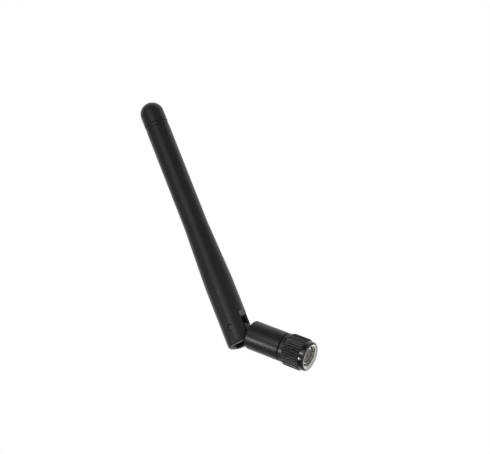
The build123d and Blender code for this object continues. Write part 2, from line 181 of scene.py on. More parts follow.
class Draft:
    """The grids of one piece, joined at their common points into one closed mesh."""

    def __init__(self) -> None:
        """Start with no grid."""
        self.points: list[np.ndarray] = []
        self.faces: list[list[int]] = []
        self.finishes: list[int] = []
        self.count = 0

    def grid(self, points: np.ndarray, finish: int = 0) -> None:
        """Add a grid with a face between each four neighbours and its last column joined to its first.

        Args:
            points: rows by columns by 3.
            finish: which of the piece's finishes its faces take.
        """
        rows, columns = points.shape[:2]
        index = self.count + np.arange(rows * columns).reshape(rows, columns)
        index = np.concatenate([index, index[:, :1]], axis=1)
        corners = [index[:-1, :-1], index[:-1, 1:], index[1:, 1:], index[1:, :-1]]
        faces = np.stack(corners, axis=-1).reshape(-1, 4)
        self.points.append(points.reshape(-1, 3))
        self.faces.extend(faces.tolist())
        self.finishes.extend([finish] * len(faces))
        self.count += rows * columns

    def lids(self, points: np.ndarray) -> None:
        """Close the first and last rows of a grid, which are flat, with one face each."""
        for row in (points[0], points[-1]):
            self.points.append(row)
            self.faces.append(list(range(self.count, self.count + len(row))))
            self.finishes.append(0)
            self.count += len(row)

    def mesh(self, name: str, axes: Axes, crease: float = CREASE) -> bpy.types.Mesh:
        """Join the grids, close their poles and point the faces outwards.

        Args:
            name: the mesh's name.
            axes: where the piece stands.
            crease: the angle in degrees past which an edge is shaded sharp.

        Returns:
            The new mesh, in the frame.
        """
        made = bpy.data.meshes.new(name)
        points = axes.place(np.concatenate(self.points))
        made.from_pydata(points, [], self.faces)
        made.polygons.foreach_set("material_index", self.finishes)
        tidy_shell(made, crease)
        return made


def tidy_shell(mesh: bpy.types.Mesh, crease: float = CREASE) -> None:
    """Merge a mesh's doubles, point its faces outwards and shade it smooth up to a crease angle."""
    work = bmesh.new()
    work.from_mesh(mesh)
    bmesh.ops.remove_doubles(work, verts=work.verts, dist=MERGE)
    bmesh.ops.dissolve_degenerate(work, edges=work.edges, dist=MERGE)
    bmesh.ops.recalc_face_normals(work, faces=work.faces)
    work.to_mesh(mesh)
    work.free()
    mesh.shade_smooth()
    mesh.set_sharp_from_angle(angle=math.radians(crease))
    mesh.update()


def turned(profile: np.ndarray, columns: int, start: float = 0.0) -> Draft:
    """A draft with one surface of revolution from an outline that starts and ends on its axis."""
    draft = Draft()
    draft.grid(revolved(profile, even_turn(columns, start)))
    return draft


def closed_turned(profile: np.ndarray, columns: int) -> Draft:
    """A draft of a ring, whose outline's last point joins its first one off the axis."""
    return turned(np.concatenate([profile, profile[:1]]), columns)


def capped(points: np.ndarray) -> Draft:
    """A draft of closed rows of points, with one face on the first row and one on the last."""
    draft = Draft()
    draft.grid(points)
    draft.lids(points)
    return draft


def prism(section: np.ndarray, low: float, high: float, across: bool) -> Draft:
    """A closed outline carried along a straight path, its ends closed.

    Args:
        section: (n, 2) points: x and z for a path along Y, or x and y for a path along Z.
        low: where the path starts.
        high: where it ends.
        across: whether the path runs along Y rather than Z.

    Returns:
        The draft.
    """
    flat = ring_of(section)
    if across:
        flat = flat[:, [0, 2, 1]]
    step = np.array([0, 1, 0]) if across else np.array([0, 0, 1])
    return capped(np.stack([flat + low * step, flat + high * step]))


def on_y(points: np.ndarray) -> np.ndarray:
    """Lay points that were turned about Z down on Y: x stays, y takes z and z takes minus y."""
    return points[..., [0, 2, 1]] * np.array([1, 1, -1])


def combined(mesh: bpy.types.Mesh, others: list[bpy.types.Mesh], operation: str) -> bpy.types.Mesh:
    """One mesh with others joined to it or cut from it, by exact booleans that are applied.

    Args:
        mesh: the closed shell to change.
        others: closed shells, taken in turn.
        operation: UNION or DIFFERENCE.

    Returns:
        The new mesh. The ones handed in are removed.
    """
    stock = bpy.data.objects.new("stock", mesh)
    bpy.context.scene.collection.objects.link(stock)
    helpers = []
    for number, other in enumerate(others):
        helper = bpy.data.objects.new(f"helper_{number}", other)
        bpy.context.scene.collection.objects.link(helper)
        cut = stock.modifiers.new(f"step_{number}", "BOOLEAN")
        cut.object = helper
        cut.operation = operation
        cut.solver = "EXACT"
        helpers.append(helper)
    bpy.context.view_layer.update()
    ready = stock.evaluated_get(bpy.context.evaluated_depsgraph_get())
    result = bpy.data.meshes.new_from_object(ready)
    for spare in (stock, *helpers):
        data = spare.data
        bpy.data.objects.remove(spare)
        bpy.data.meshes.remove(data)
    return result


# Finishes


class Shader:
    """A material's or group's nodes, added and joined by short calls."""

    def __init__(self, tree: bpy.types.NodeTree) -> None:
        """Work on an empty node tree."""
        self.tree = tree
        tree.nodes.clear()

    def add(self, kind: str, settings: dict | None = None, **inputs: object) -> bpy.types.Node:
        """Add a node, set its properties and fill its sockets.

        Args:
            kind: the node's class name.
            settings: properties of the node, such as its operation.
            **inputs: what goes into its sockets, as fill takes it.

        Returns:
            The node.
        """
        node = self.tree.nodes.new(kind)
        for key, value in (settings or {}).items():
            setattr(node, key, value)
        self.fill(node, **inputs)
        return node

    def fill(self, node: bpy.types.Node, **inputs: object) -> None:
        """Fill a node's sockets with values or links.

        Args:
            node: the node.
            **inputs: a value or another node's output for each socket, by its name with underscores
                for spaces, or by its number as slot_0 and so on.
        """
        for key, value in inputs.items():
            name = key.replace("_", " ")
            socket = node.inputs[int(name[5:])] if name.startswith("slot ") else node.inputs[name]
            if isinstance(value, bpy.types.NodeSocket):
                self.tree.links.new(value, socket)
            else:
                socket.default_value = value

    def maths(self, operation: str, first: object, second: object = 0.0) -> bpy.types.NodeSocket:
        """The result of one arithmetic step on two values or outputs."""
        return self.add("ShaderNodeMath", {"operation": operation}, slot_0=first, slot_1=second).outputs[0]

    def between(self, value: object, low: float, high: float) -> bpy.types.NodeSocket:
        """A value from 0 to 1 stretched to run from low to high."""
        return self.add("ShaderNodeMapRange", None, Value=value, To_Min=low, To_Max=high).outputs[0]

    def bump(
        self, depth: float, height: bpy.types.NodeSocket, under: bpy.types.NodeSocket | None
    ) -> bpy.types.NodeSocket:
        """The normal of a relief of this depth in metres, laid over another normal where one is given."""
        laid = {"Normal": under} if under else {}
        return self.add("ShaderNodeBump", None, Distance=depth, Height=height, **laid).outputs[0]

    def group(self, tree: bpy.types.NodeTree, **inputs: object) -> bpy.types.Node:
        """Place a shared effect in this tree with its own values."""
        return self.add("ShaderNodeGroup", {"node_tree": tree}, **inputs)


def new_group(
    name: str, inputs: list[str], outputs: list[str]
) -> tuple[Shader, bpy.types.Node, bpy.types.Node]:
    """An empty shader group with float sockets.

    Args:
        name: the group's name.
        inputs: names of its inputs.
        outputs: names of its outputs.

    Returns:
        The shader to fill, its input node and its output node.
    """
    tree = bpy.data.node_groups.new(name, "ShaderNodeTree")
    for label in inputs:
        tree.interface.new_socket(name=label, in_out="INPUT", socket_type="NodeSocketFloat")
    for label in outputs:
        tree.interface.new_socket(name=label, in_out="OUTPUT", socket_type="NodeSocketFloat")
    shader = Shader(tree)
    return shader, shader.add("NodeGroupInput"), shader.add("NodeGroupOutput")


class Effects:
    """The effects that several finishes share, each built once."""

    coarse_scale = 0.11  # of the fine grain's
    coarse_height = 0.6  # of the fine grain's
    hair_scale = 6.0  # of the smudges'
    hair_stretch = (1.0, 9.0, 1.0)
    hair_peak = (0.66, 0.74)  # where the stretched noise starts to show as a scratch, and is one

    def __init__(self) -> None:
        """Build every group."""
        self.grain = self.build_grain()
        self.handling = self.build_handling()
        self.rings = self.build_rings()

    def build_grain(self) -> bpy.types.NodeTree:
        """Fine moulded grain: noise at the given scale per metre, with a coarser layer under it."""
        shader, given, result = new_group("moulded_grain", ["Scale"], ["Height", "Mottle"])
        where = shader.add("ShaderNodeTexCoord").outputs["Object"]
        fine = shader.add("ShaderNodeTexNoise", None, Vector=where, Scale=given.outputs[0], Detail=3.0)
        wide = shader.maths("MULTIPLY", given.outputs[0], self.coarse_scale)
        coarse = shader.add("ShaderNodeTexNoise", None, Vector=where, Scale=wide, Detail=4.0)
        lower = shader.maths("MULTIPLY", coarse.outputs[0], self.coarse_height)
        height = shader.maths("ADD", fine.outputs[0], lower)
        shader.fill(result, Height=height, Mottle=coarse.outputs[0])
        return shader.tree

    def build_handling(self) -> bpy.types.NodeTree:
        """Faint marks of handling: soft smudges, and a few hair scratches where a stretched noise peaks."""
        shader, given, result = new_group("handling_marks", ["Scale"], ["Smudge", "Scratch"])
        where = shader.add("ShaderNodeTexCoord").outputs["Object"]
        soft = shader.add("ShaderNodeTexNoise", None, Vector=where, Scale=given.outputs[0], Detail=2.0)
        squeeze = shader.add("ShaderNodeMapping", None, Vector=where, Scale=self.hair_stretch)
        fast = shader.maths("MULTIPLY", given.outputs[0], self.hair_scale)
        lines = shader.add("ShaderNodeTexNoise", None, Vector=squeeze.outputs[0], Scale=fast, Detail=1.0)
        low, high = self.hair_peak
        peak = shader.add("ShaderNodeMapRange", None, Value=lines.outputs[0], From_Min=low, From_Max=high)
        shader.fill(result, Smudge=soft.outputs[0], Scratch=peak.outputs[0])
        return shader.tree

    @staticmethod
    def build_rings() -> bpy.types.NodeTree:
        """Marks of turning on the plug's axis: a sine of the distance along it plus that from it."""
        shader, given, result = new_group("turning_marks", ["Rings per metre"], ["Height"])
        where = shader.add("ShaderNodeTexCoord").outputs["Object"]
        parts = shader.add("ShaderNodeSeparateXYZ", None, Vector=where)
        flat = shader.add("ShaderNodeCombineXYZ", None, X=parts.outputs[0], Y=parts.outputs[1])
        away = shader.add("ShaderNodeVectorMath", {"operation": "LENGTH"}, slot_0=flat.outputs[0])
        path = shader.maths("ADD", parts.outputs[2], away.outputs["Value"])
        turn = shader.maths("MULTIPLY", given.outputs[0], TURN)
        wave = shader.maths("SINE", shader.maths("MULTIPLY", path, turn))
        shader.fill(result, Height=wave)
        return shader.tree


@dataclass(frozen=True)
class Finish:
    """One surface finish and how it varies over the piece."""

    name: str
    colour: tuple[float, float, float]
    roughness: float
    metallic: float = 0.0
    specular: float = 0.5
    ior: float = 1.5
    spread: float = 0.05  # how far smudges change the roughness, each way
    tone: float = 0.12  # how far the mottle darkens and lightens the colour
    grain_scale: float = 7000.0  # per metre
    grain_depth: float = 0.0  # metres
    ring_scale: float = 0.0  # turning marks per metre
    ring_depth: float = 0.0  # metres
    scratch: float = 0.0  # how much hair scratches lower the roughness
    marks_scale: float = 320.0  # of the smudges, per metre

    def build(self, effects: Effects) -> bpy.types.Material:
        """Make the material.

        Args:
            effects: the shared groups.

        Returns:
            A material on a Principled surface.
        """
        material = bpy.data.materials.new(self.name)
        material.use_nodes = True
        shader = Shader(material.node_tree)
        surface = shader.add(
            "ShaderNodeBsdfPrincipled", None, Metallic=self.metallic, Specular_IOR_Level=self.specular,
            IOR=self.ior,
        )
        grain = shader.group(effects.grain, Scale=self.grain_scale)
        marks = shader.group(effects.handling, Scale=self.marks_scale)
        dark = [c * (1 - self.tone) for c in self.colour]
        light = [min(1.0, c * (1 + self.tone)) for c in self.colour]
        mix = shader.add(
            "ShaderNodeMix", {"data_type": "RGBA"}, slot_0=grain.outputs["Mottle"],
            slot_6=(*dark, 1.0), slot_7=(*light, 1.0),
        )
        low, high = self.roughness - self.spread, self.roughness + self.spread
        rough = shader.between(marks.outputs["Smudge"], low, high)
        worn = shader.maths("MULTIPLY", marks.outputs["Scratch"], self.scratch)
        rough = shader.maths("SUBTRACT", rough, worn)
        shader.fill(surface, Base_Color=mix.outputs[2], Roughness=rough)
        normal = None
        if self.grain_depth:
            normal = shader.bump(self.grain_depth, grain.outputs["Height"], normal)
        if self.ring_depth:
            rings = shader.group(effects.rings, Rings_per_metre=self.ring_scale)
            normal = shader.bump(self.ring_depth, rings.outputs["Height"], normal)
        if normal:
            shader.fill(surface, Normal=normal)
        shader.add("ShaderNodeOutputMaterial", None, Surface=surface.outputs[0])
        return material


class Look(Enum):
    """Every finish of the antenna, by the record's slot it belongs to.

    FLUTED_GRIP has no slot of its own: it is the duller part of the nut, whose slot is black_nickel.
    """

    BLACK_PLASTIC = Finish(
        "satin_black_plastic", (0.0165, 0.0184, 0.018), 0.33, specular=0.45, grain_depth=3e-6,
    )
    BLACK_NICKEL = Finish(
        "black_nickel_plating", (0.09, 0.088, 0.082), 0.12, metallic=1.0, spread=0.02,
        ring_scale=6000.0, ring_depth=1e-7, scratch=0.03,
    )
    FLUTED_GRIP = Finish(
        "black_nickel_flutes", (0.04, 0.04, 0.037), 0.27, metallic=0.3, specular=0.35, spread=0.03,
        scratch=0.03,
    )
    NICKEL = Finish(
        "bright_nickel_plating", (0.74, 0.72, 0.68), 0.09, metallic=1.0, spread=0.02,
        ring_scale=11000.0, ring_depth=6e-7,
    )
    GOLD = Finish(
        "gold_plating", (0.66, 0.52, 0.33), 0.25, metallic=1.0, ring_scale=12000.0, ring_depth=1e-6,
    )
    # The insulator's colour is set dark grey, far below the white such insulators often are.
    INSULATOR = Finish("darkened_insulator", (0.13, 0.122, 0.11), 0.4, grain_depth=3e-6)
    SPRING_BRONZE = Finish("spring_bronze", (0.45, 0.26, 0.13), 0.3, metallic=1.0, grain_depth=2e-6)
    PIN_STEEL = Finish("blackened_pin_steel", (0.085, 0.088, 0.088), 0.42, metallic=1.0, grain_depth=3e-6)
    CABLE_JACKET = Finish("cable_jacket", (0.02, 0.02, 0.02), 0.5, grain_depth=4e-6)
    CABLE_BRAID = Finish(
        "tinned_braid", (0.55, 0.54, 0.52), 0.4, metallic=1.0, grain_scale=4000.0, grain_depth=2e-5,
    )
    CABLE_CORE = Finish("cable_insulation", (0.75, 0.74, 0.7), 0.35, tone=0.04, grain_depth=2e-6)
    COPPER = Finish("silvered_copper", (0.8, 0.55, 0.4), 0.28, metallic=1.0, grain_depth=2e-6)
    SOLDER = Finish(
        "soft_solder", (0.5, 0.5, 0.5), 0.36, metallic=1.0, grain_scale=2500.0, grain_depth=1e-5,
    )
    BRIGHT_BRASS = Finish("drawn_brass", (0.78, 0.57, 0.27), 0.27, metallic=1.0, grain_depth=2e-6)
    NATURAL_PLASTIC = Finish("natural_plastic", (0.62, 0.6, 0.52), 0.4, tone=0.05, grain_depth=3e-6)

    @property
    def slot(self) -> str:
        """The record's slot of this finish."""
        return self.name.lower()


class Dresser:
    """Gives pieces their finishes and bodies, and tells what it did."""

    def __init__(self) -> None:
        """Make every material once."""
        effects = Effects()
        self.materials = {look: look.value.build(effects) for look in Look}

    def piece(
        self, name: str, mesh: bpy.types.Mesh, body: str | None, looks: list[Look], nodes: list[str]
    ) -> bpy.types.Object:
        """Turn a mesh into a finished piece that rides on its body and stands for its nodes.

        Args:
            name: the piece's name.
            mesh: its mesh, in the frame.
            body: the body it rides on, or None where it rides on no body.
            looks: its finishes, in the order of the mesh's indices.
            nodes: the nodes that it stands for.

        Returns:
            The object.
        """
        made = bpy.data.objects.new(name, mesh)
        bpy.context.scene.collection.objects.link(made)
        for look in looks:
            mesh.materials.append(self.materials[look])
        if body:
            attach(made, body)
        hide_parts(*nodes)
        LOG.info("%s: %d faces on %s", name, len(mesh.polygons), body)
        return made

    def node(self, name: str, made: bpy.types.Object, look: Look) -> None:
        """Give a carried-over node its finish."""
        made.data.materials.clear()
        made.data.materials.append(self.materials[look])
        LOG.info("%s: carried over in %s", name, look.value.name)


# Sub-assemblies


@dataclass
class Plug:
    """The fixed part of the plug: turned body, insulator and centre contact."""

    axes: Axes
    shell_r: float = 2.295
    shell_length: float = 2.4
    insulator_r: float = 2.05
    insulator_length: float = 6.0
    contact_r: float = 0.635
    socket_r: float = 0.47
    socket_depth: float = 2.6
    slot_width: float = 0.12
    slot_depth: float = 1.9
    cup_r: float = 0.15
    cup_depth: float = 1.0
    contact_columns: int = 96
    journal_r: float = 2.75
    groove_r: float = 2.3
    groove: tuple[float, float] = (4.4, 5.2)
    collar_r: float = 3.55
    collar: tuple[float, float] = (7.2, 7.45)
    spigot_r: float = 2.6
    spigot_end: float = 12.45
    snap: tuple[float, float] = (10.15, 11.15)
    snap_depth: float = 0.25
    stub_r: float = 0.8
    stub_bore_r: float = 0.44
    stub_end: float = 16.35
    edge: float = 0.05
    columns: int = 144

    def body(self) -> bpy.types.Mesh:
        """The turned body: its stepped outline carried round the plug's axis."""
        edge = self.edge
        low, high = self.groove
        snap_floor = self.spigot_r - self.snap_depth
        corners = [
            (self.insulator_r, 0.0, 0.0),
            (self.shell_r, 0.0, edge),
            (self.shell_r, self.shell_length, 0.0),
            (self.journal_r, self.shell_length, edge),
            (self.journal_r, low, 0.0),
            (self.groove_r, low, 0.0),
            (self.groove_r, high, 0.0),
            (self.journal_r, high, 0.0),
            (self.journal_r, self.collar[0], 0.0),
            (self.collar_r, self.collar[0], edge),
            (self.collar_r, self.collar[1], edge),
            (self.spigot_r, self.collar[1], 0.0),
            (self.spigot_r, self.snap[0], 0.0),
            (snap_floor, self.snap[0], 0.0),
            (snap_floor, self.snap[1], 0.0),
            (self.spigot_r, self.snap[1], 0.0),
            (self.spigot_r, self.spigot_end, edge),
            (self.stub_r, self.spigot_end, 0.0),
            (self.stub_r, self.stub_end, 0.0),
            (self.stub_bore_r, self.stub_end, 0.0),
            (self.stub_bore_r, self.insulator_length, 0.0),
            (self.insulator_r, self.insulator_length, 0.0),
        ]
        return closed_turned(outline(corners), self.columns).mesh("body", self.axes)

    def insulator(self) -> bpy.types.Mesh:
        """The insulator: a tube about the contact with faintly rounded rims."""
        edge = self.edge
        corners = [
            (self.contact_r, self.insulator_length / 2, 0.0),
            (self.contact_r, 0.0, edge),
            (self.insulator_r, 0.0, edge),
            (self.insulator_r, self.insulator_length, 0.0),
            (self.contact_r, self.insulator_length, 0.0),
        ]
        return closed_turned(outline(corners), self.columns).mesh("insulator", self.axes)

    def contact(self) -> bpy.types.Mesh:
        """The centre contact: a turned socket with a cross of slots, and a solder cup behind."""
        edge = self.edge
        corners = [
            (0.0, self.socket_depth, 0.0),
            (self.socket_r, self.socket_depth, 0.0),
            (self.socket_r, 0.0, 2 * edge),
            (self.contact_r, 0.0, edge),
            (self.contact_r, self.insulator_length, 0.0),
            (self.cup_r, self.insulator_length, 0.0),
            (self.cup_r, self.insulator_length - self.cup_depth, 0.0),
            (0.0, self.insulator_length - self.cup_depth, 0.0),
        ]
        shell = turned(outline(corners), self.contact_columns).mesh("contact", self.axes)
        reach, half, ahead = 2 * self.contact_r, self.slot_width / 2, -1.0
        one_way = np.array([(-reach, -half), (reach, -half), (reach, half), (-reach, half)])
        cuts = [prism(flat, ahead, self.slot_depth, False) for flat in (one_way, one_way[:, ::-1])]
        return combined(shell, [cut.mesh("slot", self.axes) for cut in cuts], "DIFFERENCE")

    def dress(self, dresser: Dresser) -> None:
        """Make and finish the three pieces."""
        dresser.piece("plug_body", self.body(), "connector", [Look.NICKEL], ["connector_body"])
        dresser.piece("plug_insulator", self.insulator(), "connector", [Look.INSULATOR], ["dielectric"])
        contact = self.contact()
        contact.shade_smooth()
        contact.set_sharp_from_angle(angle=math.radians(CREASE))
        dresser.piece("centre_socket", contact, "connector", [Look.GOLD], ["centre_contact"])


@dataclass
class CouplingNut:
    """The fluted nut: smooth bands at both ends, a fluted grip between, a fine thread inside."""

    axes: Axes
    front: float = -0.9
    rear: float = 7.15
    band_r: float = 4.15
    nose: float = 0.45
    rear_edge: float = 0.15
    grip: tuple[float, float] = (0.6, 5.95)
    grip_r: float = 4.55
    flute_depth: float = 0.35
    flutes: int = 36
    land: float = 0.05  # share of a flute's pitch that stands proud
    flank_points: int = 6
    grip_end: float = 0.34  # how far the grip's ends slope
    grip_step: float = 0.03  # how far the grip's ends start above the bands
    grip_rows: tuple[float, ...] = (0.0, 0.02, 0.1, 0.2, 0.3, 0.4, 0.5)  # at each end, inward from it
    middle_rows: int = 5
    middle_inset: float = 0.7
    mouth_r: float = 3.5  # where the bright front face ends
    rim_land: float = 0.08  # the flat ring round the mouth
    entry_r: float = 3.1  # where the chamfer into the thread starts
    thread_r: float = 3.2
    mouth_edge: float = 0.16  # how deep the front face dips to the thread
    thread_end: float = 3.2
    thread_pitch: float = 25.4 / 36
    thread_depth: float = 0.4
    thread_start: float = 0.57  # where the helix begins, in turns
    thread_fade: float = 0.3  # how far from its end it starts to run out
    thread_rows: int = 12  # rows of the mesh in a pitch
    crest_level: float = 1.35  # the wave's peak, before it is clipped at 1
    crest_fall: float = 2.9  # how fast it falls to both sides, for each pitch
    bore_r: float = 2.8
    groove_r: float = 3.3
    groove: tuple[float, float] = (4.4, 5.2)
    crease: float = 28.0

    def columns(self) -> np.ndarray:
        """Angles of the columns: in every flute's pitch the land's middle, its edges and both flanks."""
        half = self.land / 2
        side = np.concatenate([[0.0, half], np.linspace(half, 0.5, self.flank_points)[1:]])
        phases = np.concatenate([side, 1 - side[-2:0:-1]])
        teeth = np.arange(self.flutes)[:, None]
        return ((teeth + phases) * TURN / self.flutes).ravel()

    def outside(self, angles: np.ndarray) -> list[np.ndarray]:
        """The outside in three grids: front band, grip and rear band.

        The bands have one radius, and the grip's is the lower of two surfaces. One is the fluted bar,
        which falls in half a cosine wave from each land to the flute's floor. The other is a slope
        that rises from the band at both ends of the grip.

        Args:
            angles: the columns' angles.

        Returns:
            The three grids, which share their end rows.
        """
        pitch = TURN / self.flutes
        phase = np.abs((angles / pitch + 0.5) % 1.0 - 0.5)
        half = self.land / 2
        fall = (1 - np.cos(math.pi * np.clip((phase - half) / (0.5 - half), 0, 1))) / 2
        bar = self.grip_r - self.flute_depth * fall
        low, high = self.grip
        rows, inset = np.array(self.grip_rows), self.middle_inset
        middle = np.linspace(low + inset, high - inset, self.middle_rows)
        heights = np.concatenate([low + rows, middle, (high - rows)[::-1]])
        inward = np.minimum(heights - low, high - heights)
        slope = self.band_r + self.grip_step + inward * (self.grip_r - self.band_r) / self.grip_end
        grip = around(np.minimum(bar[None, :], slope[:, None]), heights, angles)
        nose = outline([
            (self.mouth_r, self.front, 0.0), (self.band_r, self.front, self.nose), (self.band_r, low, 0.0),
        ])
        tail = outline([
            (self.band_r, high, 0.0), (self.band_r, self.rear, self.rear_edge),
            (self.bore_r, self.rear, 0.0),
        ])
        nose = np.concatenate([revolved(nose, angles), grip[:1]])
        tail = np.concatenate([grip[-1:], revolved(tail, angles)])
        return [nose, grip, tail]

    def inside(self, angles: np.ndarray) -> np.ndarray:
        """The inside: dished front face, thread and bore.

        The thread's radius falls from the major one by a clipped triangle wave of height over pitch
        less angle over a turn, so its crest runs round as one helix. A chamfer at 45 degrees trims its
        start.

        Args:
            angles: the columns' angles.

        Returns:
            One grid, from the front face to the rear.
        """
        start = self.front + self.mouth_edge
        heights = np.arange(start, self.thread_end, self.thread_pitch / self.thread_rows)
        wave = (heights[:, None] / self.thread_pitch - angles / TURN + self.thread_start) % 1.0
        crest = np.clip(self.crest_level - self.crest_fall * np.abs(wave - 0.5), 0, 1)
        fade = np.clip((self.thread_end - heights) / self.thread_fade, 0, 1)
        chamfer = self.entry_r + start - heights
        radius = np.maximum(self.thread_r - self.thread_depth * crest * fade[:, None], chamfer[:, None])
        thread = around(radius, heights, angles)
        low, high = self.groove
        bore = np.array([
            (self.thread_r, self.thread_end), (self.bore_r, self.thread_end), (self.bore_r, low),
            (self.groove_r, low), (self.groove_r, high), (self.bore_r, high), (self.bore_r, self.rear),
        ])
        rim = np.array([(self.mouth_r, self.front), (self.mouth_r - self.rim_land, self.front)])
        return np.concatenate([revolved(rim, angles), thread, revolved(bore, angles)])

    def dress(self, dresser: Dresser) -> None:
        """Make and finish the nut: glossy black in front, duller behind, bright in the mouth and bore."""
        angles = self.columns()
        draft = Draft()
        looks = [Look.BLACK_NICKEL, Look.FLUTED_GRIP, Look.NICKEL]
        nose, grip, tail = self.outside(angles)
        for points, finish in ((nose, 0), (grip, 1), (tail, 1), (self.inside(angles), 2)):
            draft.grid(points, finish)
        mesh = draft.mesh("nut", self.axes, crease=self.crease)
        dresser.piece("coupling_nut_fine", mesh, "coupling", looks, ["coupling_nut"])


@dataclass
class Knuckle:
    """The moulded knuckle: swivel barrel and hinge tongue in one piece."""

    axes: Axes
    front: float = 7.5
    shoulder: float = 18.1
    radius: float = 4.1
    front_edge: float = 0.15
    shoulder_round: float = 0.45
    bore_r: float = 2.65
    bead_r: float = 2.4
    bead: tuple[float, float] = (10.25, 11.05)
    room_r: float = 2.0
    room: tuple[float, float] = (12.5, 16.9)
    channel_r: float = 0.85
    hinge: float = 23.2
    tongue_half_width: float = 2.3
    tongue_half_thickness: float = 1.8
    tongue_edge: float = 0.2
    pin_hole_r: float = 0.9
    channel_inset: float = 0.002  # keeps the channel's wall off the slot's
    channel_start: float = 0.6  # below the shoulder
    columns: int = 192
    hole_columns: int = 64
    end_points: int = 49

    def barrel(self) -> bpy.types.Mesh:
        """The barrel: its outline, bore and cable channel carried round the plug's axis."""
        corners = [
            (self.bore_r, self.front, 0.0),
            (self.radius, self.front, self.front_edge),
            (self.radius, self.shoulder, self.shoulder_round),
            (self.channel_r, self.shoulder, 0.0),
            (self.channel_r, self.room[1], 0.0),
            (self.room_r, self.room[1], 0.0),
            (self.room_r, self.room[0], 0.0),
            (self.bore_r, self.room[0], 0.0),
            (self.bore_r, self.bead[1], 0.0),
            (self.bead_r, self.bead[1], 0.0),
            (self.bead_r, self.bead[0], 0.0),
            (self.bore_r, self.bead[0], 0.0),
        ]
        return closed_turned(outline(corners), self.columns).mesh("barrel", self.axes)

    def tongue(self) -> bpy.types.Mesh:
        """The tongue: a flat bar with a half round end, carried across with its edges rounded.

        At each place across, the bar's outline is drawn in by 1 - cos of the edge's angle.
        """
        turn = np.radians([90, 60, 30, 0])
        inset = self.tongue_edge * (1 - np.cos(turn))
        place = self.tongue_half_thickness - self.tongue_edge * (1 - np.sin(turn))
        inset = np.concatenate([inset, inset[::-1]])
        place = np.concatenate([-place, place[::-1]])
        angles = np.linspace(0, math.pi, self.end_points)
        half = (self.tongue_half_width - inset)[:, None]
        foot = self.shoulder - self.shoulder_round
        x = np.concatenate([half, half * np.cos(angles), -half], axis=1)
        z = np.concatenate([foot + 0 * half, self.hinge + half * np.sin(angles), foot + 0 * half], axis=1)
        y = place[:, None] * np.ones_like(x)
        return capped(np.stack([x, y, z], axis=-1)).mesh("tongue", self.axes)

    def cuts(self) -> list[bpy.types.Mesh]:
        """What is cut from the tongue: cable slot, cable channel and pin hole."""
        r, angles = self.channel_r, even_turn(self.hole_columns)
        slot = np.array([(-r, -r), (PAST, -r), (PAST, PAST), (-r, PAST)])
        channel = arc(r - self.channel_inset, angles)
        middle = np.array([0.0, self.hinge])
        return [
            prism(channel, self.shoulder - self.channel_start, self.hinge, False).mesh("channel", self.axes),
            prism(slot + middle, -r, r, True).mesh("slot", self.axes),
            prism(arc(self.pin_hole_r, angles) + middle, -PAST, PAST, True).mesh("pin_hole", self.axes),
        ]

    def dress(self, dresser: Dresser) -> None:
        """Make and finish the knuckle."""
        joined = combined(self.barrel(), [self.tongue()], "UNION")
        mesh = combined(joined, self.cuts(), "DIFFERENCE")
        tidy_shell(mesh)
        dresser.piece("knuckle_moulding", mesh, "knuckle", [Look.BLACK_PLASTIC], ["knuckle_barrel"])


